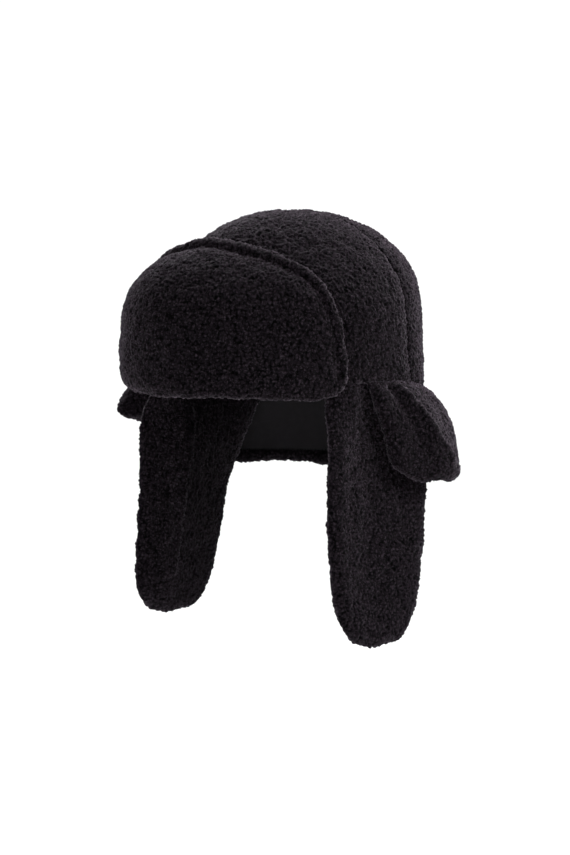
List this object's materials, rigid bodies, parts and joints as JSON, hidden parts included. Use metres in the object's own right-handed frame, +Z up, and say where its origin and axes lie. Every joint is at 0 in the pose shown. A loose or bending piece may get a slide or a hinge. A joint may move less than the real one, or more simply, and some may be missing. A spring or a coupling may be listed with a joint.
{
  "type": "aviator hat with ear flaps",
  "caption": "Teddy pile aviator hat with a paneled round crown, a turned-up front flap, long hanging ear flaps and a flared neck flap.",
  "frame": {"origin": "centre of the head opening at the middle level of the rim seam, where the hat sits on a head", "axes": "+Z up through the crown, -Y towards the front flap, +X towards the wearer's left"},
  "size_m": [0.2743, 0.2618, 0.3172],
  "materials": {
    "teddy_pile": "black curly teddy pile, matt, with a soft sheen at grazing angles"
  },
  "bodies": {
    "root": {"crown_panel_front": "teddy_pile", "crown_panel_front_left": "teddy_pile", "crown_panel_back_left": "teddy_pile", "crown_panel_back_right": "teddy_pile", "crown_panel_front_right": "teddy_pile", "front_flap": "teddy_pile", "ear_flap_left": "teddy_pile", "ear_flap_right": "teddy_pile", "neck_flap": "teddy_pile"}
  },
  "joints": []
}
